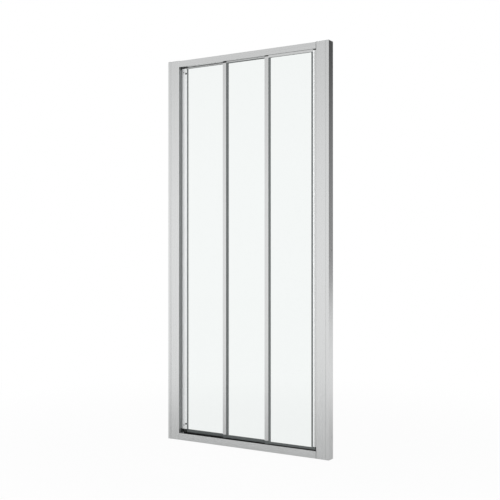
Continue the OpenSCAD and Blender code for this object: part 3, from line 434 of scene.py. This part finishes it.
class DOOR_OT_stage(bpy.types.Operator):
    """Sets the camera, floor, world and lamps"""
    bl_idname = "door.stage"
    bl_label = "Studio"

    def execute(self, context):
        studio = props("studio")
        camera = bpy.data.objects.new("camera", bpy.data.cameras.new("camera"))
        context.scene.collection.objects.link(camera)
        camera.location = studio.camera_place
        camera.rotation_euler = (math.pi / 2, 0, studio.camera_turn)
        camera.data.lens = studio.lens
        camera.data.shift_y = studio.horizon_shift
        context.scene.camera = camera
        context.scene.view_settings.view_transform = "Standard"
        self.floor(context, studio.floor_radius)
        self.world(context)
        self.lamps(context, studio)
        return {"FINISHED"}

    def seen(self, tree):
        """1 for the rays that show the background: straight, mirrored or through glass."""
        path = add_node(tree, "ShaderNodeLightPath")
        total = path.outputs["Is Camera Ray"]
        for name in ("Is Glossy Ray", "Is Transmission Ray"):
            total = add_node(tree, "ShaderNodeMath", {"operation": "MAXIMUM"},
                             {0: total, 1: path.outputs[name]}).outputs[0]
        return total

    def mirrored(self, tree):
        """1 for the rays that metal mirrors; those through glass count as glossy rays too."""
        path = add_node(tree, "ShaderNodeLightPath")
        return add_node(tree, "ShaderNodeMath", {"operation": "SUBTRACT", "use_clamp": True},
                        {0: path.outputs["Is Glossy Ray"],
                         1: path.outputs["Is Transmission Ray"]}).outputs[0]

    def floor(self, context, radius):
        """Pale floor that keeps the door's shadow and fades into the backdrop."""
        ring = 96
        points = [(*p, 0.0) for p in arc(0, 0, radius, 0, 360 - 360 / ring, ring - 1)]
        mesh = bpy.data.meshes.new("floor")
        mesh.from_pydata(points, [], [tuple(range(ring))])
        floor = bpy.data.objects.new("floor", mesh)
        context.scene.collection.objects.link(floor)
        material, tree = new_material("pale_studio_floor")
        matt = add_node(tree, "ShaderNodeBsdfPrincipled", inputs={
            "Base Color": from_hex("#F0F0F0"), "Roughness": 0.9, "Specular IOR Level": 0.1})
        glow = add_node(tree, "ShaderNodeEmission", inputs={"Color": from_hex("#FFFFFF")})
        place = add_node(tree, "ShaderNodeTexCoord").outputs["Object"]
        distance = add_node(tree, "ShaderNodeVectorMath", {"operation": "LENGTH"}, {0: place})
        # Near the door the metal mirrors the floor's own shade, darker than the white backdrop
        near = add_node(tree, "ShaderNodeMapRange", inputs={
            "Value": self.mirrored(tree), "To Min": 0.94, "To Max": 0.17})
        fade = add_node(tree, "ShaderNodeMapRange", {"interpolation_type": "SMOOTHSTEP"},
                        {"Value": distance.outputs["Value"], "From Min": 0.6, "From Max": 2.6,
                         "To Min": near.outputs["Result"], "To Max": 1.0}).outputs["Result"]
        share = add_node(tree, "ShaderNodeMath", {"operation": "MULTIPLY"},
                         {0: self.seen(tree), 1: fade}).outputs[0]
        mix = add_node(tree, "ShaderNodeMixShader", inputs={
            0: share, 1: matt.outputs[0], 2: glow.outputs[0]})
        finish_material(tree, mix)
        mesh.materials.append(material)

    def world(self, context):
        """White backdrop, a softer white that lights the door, and the walls its metal mirrors."""
        world = bpy.data.worlds.new("studio")
        context.scene.world = world
        world.use_nodes = True
        tree = world.node_tree
        tree.nodes.clear()
        direction = add_node(tree, "ShaderNodeTexCoord").outputs["Generated"]
        walls = 1.0
        for heading, edge, middle, change in WALLS:
            facing = add_node(tree, "ShaderNodeVectorMath", {"operation": "DOT_PRODUCT"},
                              {0: direction, 1: Vector(heading).normalized()})
            card = add_node(tree, "ShaderNodeMapRange", {"interpolation_type": "SMOOTHSTEP"},
                            {"Value": facing.outputs["Value"], "From Min": edge,
                             "From Max": middle, "To Min": 0.0, "To Max": change})
            walls = add_node(tree, "ShaderNodeMath", {"operation": "ADD"},
                             {0: walls, 1: card.outputs["Result"]}).outputs[0]
        plain = add_node(tree, "ShaderNodeMapRange", inputs={
            "Value": self.seen(tree), "To Min": 0.55, "To Max": 1.0}).outputs["Result"]
        strength = add_node(tree, "ShaderNodeMix", {"data_type": "FLOAT"}, {
            0: self.mirrored(tree), "A": plain, "B": walls}).outputs["Result"]
        sky = add_node(tree, "ShaderNodeBackground",
                       inputs={"Color": from_hex("#FFFFFF"), "Strength": strength})
        output = tree.nodes.new("ShaderNodeOutputWorld")
        tree.links.new(sky.outputs[0], output.inputs["Surface"])

    def lamps(self, context, studio):
        """Softboxes in front of the door, which the metal and glass don't mirror."""
        centre = Vector((0, 0, 0.95))
        for name, place, power in (
                ("key_softbox", Vector((-2.4, -3.2, 1.5)), studio.key_power),
                ("fill_softbox", Vector((2.6, -3.0, 1.3)), studio.fill_power)):
            lamp = bpy.data.lights.new(name, "AREA")
            lamp.shape = "SQUARE"
            lamp.size = studio.softbox
            lamp.energy = power
            holder = bpy.data.objects.new(name, lamp)
            holder.location = place
            holder.rotation_euler = (centre - place).to_track_quat("-Z", "Y").to_euler()
            holder.visible_glossy = False
            holder.visible_transmission = False
            context.scene.collection.objects.link(holder)


class DOOR_OT_metalwork(bpy.types.Operator):
    """Gives the aluminium profiles, tracks and stiles their anodised finish"""
    bl_idname = "door.metalwork"
    bl_label = "Metalwork"

    def execute(self, context):
        upright = anodised_aluminium("anodised_aluminium_upright", 2)
        level = anodised_aluminium("anodised_aluminium_level", 0)
        satin = satin_lacquer("satin_aluminium_and_painted_highlight")
        trim = moulded_plastic("extruded_grey_trim", props("finish").cover, 0.45)
        dress(upright, "left_wall_profile", "right_wall_profile", "fixed_stile",
              "middle_left_stile", "middle_right_stile", "closing_right_stile")
        # The jamb ribs that face into the doorway take grey plastic as painted shade
        dress(upright, "left_jamb", "right_jamb", second=trim, where=self.rib_in_painted_shade)
        # The edge profile's right-leaning front faces take the brighter satin finish as a painted
        # highlight
        dress(upright, "fixed_edge_profile", second=satin, where=self.painted_highlight_face)
        dress(satin, "handle_stile")
        dress(level, "header_track", "header_cover", "sill_track", "fixed_top_rail",
              "middle_top_rail", "closing_top_rail")
        return {"FINISHED"}

    def rib_in_painted_shade(self, face):
        """Whether a jamb face is a rib that looks into the doorway; these take grey plastic as
        painted shade.
        """
        rib_reach = 0.3885
        inwards = face.normal.x * face.center.x < 0
        return inwards and abs(face.normal.x) > 0.7 and abs(face.center.x) < rib_reach

    def painted_highlight_face(self, face):
        """Whether a face of the edge profile is on its front and leans a little to the right;
        these take the satin finish as a painted highlight.
        """
        return 0.05 < face.normal.x < 0.3 and face.normal.y < 0


class DOOR_OT_glazing(bpy.types.Operator):
    """Makes the three panes with ground edges and the rubber around them"""
    bl_idname = "door.glazing"
    bl_label = "Glazing"

    def execute(self, context):
        glass = float_glass("clear_float_glass")
        rubber = extruded_rubber("extruded_gasket_rubber", props("finish").gasket)
        for panel, body in PANELS.items():
            self.pane(panel, body, glass)
            self.gasket(panel, body, rubber)
        return {"FINISHED"}

    def pane(self, panel, body, material):
        """A pane whose edges are ground off by an arris."""
        node = panel + "_glass"
        low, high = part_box(node)
        arris = 0.6 * MM
        outline = [(0, low.y + arris), (arris, low.y), (arris, high.y), (0, high.y - arris)]
        rows = [[(low.x + s, y, low.z + s), (high.x - s, y, low.z + s),
                 (high.x - s, y, high.z - s), (low.x + s, y, high.z - s)]
                for s, y in (outline[1], outline[0], outline[3], outline[2])]
        points = [p for row in rows for p in row]
        faces = rings_to_faces(4, 4) + [(0, 1, 2, 3), (15, 14, 13, 12)]
        pane = new_piece(panel + "_pane", points, faces, material, body, [node])
        pane.visible_shadow = False

    def gasket(self, panel, body, material):
        """A U-shaped rubber whose lips lie rounded against the glass."""
        node = panel + "_glass_gasket"
        low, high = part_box(node)
        glass_low, glass_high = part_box(panel + "_glass")
        middle = (low.y + high.y) / 2
        half = (high.y - low.y) / 2
        face = middle - glass_low.y
        edge = glass_low.x - low.x
        left, right, bottom, top = (
            self.leg(width + more * MM, edge, face, half)
            for width, more in zip(self.widths(node, glass_low, glass_high), LIPS[panel]))
        points = [(x + sx * across, middle + y, z + sz * up)
                  for x, z, sx, sz, side, rail in (
                      (low.x, low.z, 1, 1, left, bottom), (high.x, low.z, -1, 1, right, bottom),
                      (high.x, high.z, -1, -1, right, top), (low.x, high.z, 1, -1, left, top))
                  for (across, y), (up, _) in zip(side, rail)]
        faces = rings_to_faces(4, len(left), closed_along=True)
        new_piece(panel + "_gasket", points, faces, material, body, [node])

    def leg(self, width, edge, face, half):
        """Section of the rubber: its width from the outer edge, and its depth from the glass."""
        thick = half - face
        reach = 0.8 * thick
        lip = [(width - reach * (1 - math.sin(t)), face + thick * math.cos(t))
               for t in (math.radians(a) for a in range(0, 91, 15))]
        front = [(0.0, half), *lip, (edge, face)]
        return [(s, -y) for s, y in front] + [(s, y) for s, y in reversed(front)]

    def widths(self, node, glass_low, glass_high):
        """Width of the CAD rubber at the left, the right, the bottom and the top."""
        low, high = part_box(node)
        skin = 0.1 * MM
        inside = [v.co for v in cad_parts[node].data.vertices
                  if glass_low.x + skin < v.co.x < glass_high.x - skin
                  and glass_low.z + skin < v.co.z < glass_high.z - skin]
        xs = [co.x for co in inside]
        zs = [co.z for co in inside]
        return min(xs) - low.x, high.x - max(xs), min(zs) - low.z, high.z - max(zs)


class DOOR_OT_plastics(bpy.types.Operator):
    """Gives the mouldings, rails, carriages, rollers and strips their plastics"""
    bl_idname = "door.plastics"
    bl_label = "Plastics"

    def execute(self, context):
        finish = props("finish")
        grey = moulded_plastic("moulded_grey_abs", finish.moulding, 0.42)
        dark = moulded_plastic("moulded_dark_abs", finish.rail, 0.4)
        cap = moulded_plastic("moulded_black_abs", finish.cap, 0.4)
        # The covers' black ends are painted shade in the corners at the sill and header
        cover = cover_plastic("grey_cover_with_painted_corner_shade", finish.cover, finish.cap, *COVER_GREY)
        black = moulded_plastic("moulded_black_acetal", finish.carriage, 0.38)
        white = moulded_plastic("turned_white_nylon", finish.roller, 0.35)
        strip = moulded_plastic("black_nylon_and_track_shade", finish.strip, 0.45)
        dress(grey, "wall_profile_caps", "jamb_caps")
        dress(moulded_plastic("moulded_pale_abs", finish.block, 0.42), "handle_blocks")
        dress(dark, "fixed_bottom_rail", "middle_bottom_rail", "closing_bottom_rail")
        dress(dark, "fixed_stile_caps", "middle_stile_caps", second=cap, where=self.upper)
        dress(cap, "closing_stile_caps")
        dress(cover, "jamb_covers")
        dress(black, "middle_top_carriages", "middle_bottom_carriages", "closing_top_carriages",
              "closing_bottom_carriages", "fixed_supports")
        # The running strips are black nylon, and their black also paints the shade inside the
        # header and sill tracks
        dress(strip, "header_running_strips", "sill_running_strips")
        rollers = [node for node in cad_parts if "_roller_" in node and "axles" not in node]
        dress(white, *rollers)
        return {"FINISHED"}

    def upper(self, face):
        """Whether a face is in the upper half of the door."""
        return face.center.z > (CAD_BOX[0][2] + CAD_BOX[1][2]) / 2


class DOOR_OT_seals(bpy.types.Operator):
    """Makes the ribbed rubber seals and the rounded magnet strips"""
    bl_idname = "door.seals"
    bl_label = "Seals"

    def execute(self, context):
        finish = props("finish")
        black = extruded_rubber("extruded_black_epdm", finish.seal_and_gap_shade)
        # The sill's ribs and the fixed panel's lip are black rubber that paints the shade in the
        # sill's gaps
        level = extruded_rubber("black_epdm_painted_shade_level", finish.seal_and_gap_shade, 0)
        magnet = extruded_rubber("soft_pvc_magnet_carrier", finish.magnet)
        for panel in ("middle", "closing"):
            self.overlap(panel, black)
        self.sill(level)
        self.fixed_bottom(level)
        self.magnet("jamb_magnet_strip", "frame", magnet)
        self.magnet("closing_magnet_strip", "closing_panel", magnet)
        return {"FINISHED"}

    def overlap(self, panel, material):
        """Two soft ribs on the front of a stile, which wipe the next panel."""
        node = panel + "_overlap_seal"
        low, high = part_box(node)
        profile = ribbed(high.x - low.x, 0.6 * MM, high.y - low.y, 2)
        points, faces = prism(profile, low.z, high.z, lambda u, v, w: (low.x + u, high.y - v, w))
        new_piece(panel + "_wiper", points, faces, material, PANELS[panel], [node])

    def sill(self, material):
        """Three soft ribs along the sill's rear wall, black as the painted shade inside the sill.
        """
        node = "sill_rear_seal"
        low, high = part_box(node)
        profile = ribbed(high.z - low.z, 0.35 * MM, high.y - low.y, 3)
        points, faces = prism(profile, low.x, high.x, lambda u, v, w: (w, high.y - v, low.z + u))
        new_piece("sill_wiper", points, faces, material, "frame", [node])

    def fixed_bottom(self, material):
        """A lip on the lower edge of the fixed panel, which closes its gap above the sill; its
        black paints the shadow in that gap.
        """
        node = "fixed_bottom_seal"
        low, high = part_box(node)
        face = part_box("fixed_bottom_rail")[0].y
        proud, lip, taper, chamfer = 0.35 * MM, 3.0 * MM, 0.4 * MM, 0.6 * MM
        front = face - proud
        outline = [(front, high.z + lip - taper), (face, high.z + lip), (face, high.z),
                   (high.y, high.z), (high.y, low.z + chamfer), (high.y - chamfer, low.z),
                   (face + taper, low.z), (front, high.z - 2 * taper)]
        points, faces = prism(outline, low.x, high.x, lambda u, v, w: (w, u, v))
        new_piece("fixed_wiper", points, faces, material, "frame", [node])

    def magnet(self, node, body, material):
        """A soft bar with rounded corners and a groove along the face that meets its partner."""
        low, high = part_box(node)
        facing = 1 if node.startswith("jamb") else -1
        seat = low.x if facing > 0 else high.x
        depth, half = high.x - low.x, (high.y - low.y) / 2
        corner, groove, groove_top, groove_floor = 0.5 * MM, 0.25 * MM, 0.9 * MM, 0.5 * MM
        side = arc(half - corner, depth - corner, corner, 0, 90, 4)
        side += [(groove_top, depth), (groove_floor, depth - groove)]
        right = [(half, 0.0), *side]
        profile = right + [(-u, v) for u, v in reversed(right)]
        middle = (low.y + high.y) / 2
        points, faces = prism(profile, low.z, high.z,
                              lambda u, v, w: (seat + facing * v, middle + u, w))
        new_piece(node.replace("_strip", "_bar"), points, faces, material, body,
                  [node])


class DOOR_OT_fasteners(bpy.types.Operator):
    """Gives the screws and axle pins their zinc finish and adds the plugs over the access holes"""
    bl_idname = "door.fasteners"
    bl_label = "Fasteners"

    def execute(self, context):
        zinc = zinc_steel("zinc_plated_steel")
        dress(zinc, "corner_screws", "jamb_fixing_screws", "fixed_support_screws",
              "middle_carriage_screws", "middle_roller_axles", "closing_roller_axles")
        dress(black_steel("black_zinc_steel"), "closing_carriage_screws")
        self.plugs(extruded_rubber("moulded_black_plug", props("finish").seal_and_gap_shade))
        return {"FINISHED"}

    def plugs(self, material):
        """A rubber plug in the access hole of each handle block, with a domed head on the face."""
        low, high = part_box("handle_blocks")
        hole_in, head_in, hole_up = 3.6 * MM, 5.1 * MM, 25.5 * MM
        stem, depth, head, rim, rise = 1.9 * MM, 1.5 * MM, 4.9 * MM, 0.2 * MM, 1.0 * MM
        # The block's face lies this far back at its right edge, and leans forward from there
        face_back, lean = 1.66 * MM, 1.8 / 28
        # Radius of each ring of points, its rise above the face, and its middle from the edge
        rings = [(stem, -depth, hole_in), (stem, 0.0, hole_in), (head, 0.0, head_in)]
        rings += [(head * math.cos(t), rim + rise * math.sin(t), head_in)
                  for t in (math.radians(a) for a in (0, 25, 50, 75))]
        turns = [math.radians(15 * i) for i in range(24)]
        size, total = len(turns), len(turns) * len(rings)
        faces = rings_to_faces(len(rings), size)
        faces += [tuple(range(size)), tuple(range(total - 1, total - size - 1, -1))]
        for end, height in (("bottom", low.z + hole_up), ("top", high.z - hole_up)):
            points = []
            for radius, proud, middle in rings:
                for t in turns:
                    inset = middle - radius * math.cos(t)
                    points.append((high.x - inset, low.y + face_back - lean * inset - proud,
                                   height + radius * math.sin(t)))
            new_piece("access_plug_" + end, points, faces, material, "closing_panel",
                      [])


STEPS = (DOOR_OT_stage, DOOR_OT_metalwork, DOOR_OT_glazing, DOOR_OT_plastics, DOOR_OT_seals,
         DOOR_OT_fasteners)


class DOOR_PT_panel(bpy.types.Panel):
    """Lists the door's steps and settings"""
    bl_idname = "DOOR_PT_panel"
    bl_label = "Shower door"
    bl_space_type = "VIEW_3D"
    bl_region_type = "UI"
    bl_category = "Shower Door"

    def draw(self, context):
        for step in STEPS:
            self.layout.operator(step.bl_idname)
        for group in (context.scene.door_finish, context.scene.door_studio):
            box = self.layout.box()
            for name in group.__annotations__:
                box.prop(group, name)


CLASSES = (DoorFinish, DoorStudio, *STEPS, DOOR_PT_panel)


def register():
    """Registers the classes and hangs the settings on the scene."""
    for cls in CLASSES:
        bpy.utils.register_class(cls)
    bpy.types.Scene.door_finish = PointerProperty(type=DoorFinish)
    bpy.types.Scene.door_studio = PointerProperty(type=DoorStudio)


def unregister():
    """Takes the settings and the classes away again."""
    del bpy.types.Scene.door_studio
    del bpy.types.Scene.door_finish
    for cls in reversed(CLASSES):
        bpy.utils.unregister_class(cls)


def main():
    register()
    bpy.ops.door.stage()
    bpy.ops.door.metalwork()
    bpy.ops.door.glazing()
    bpy.ops.door.plastics()
    bpy.ops.door.seals()
    bpy.ops.door.fasteners()
    bpy.context.view_layer.update()


if __name__ == "__main__":
    main()
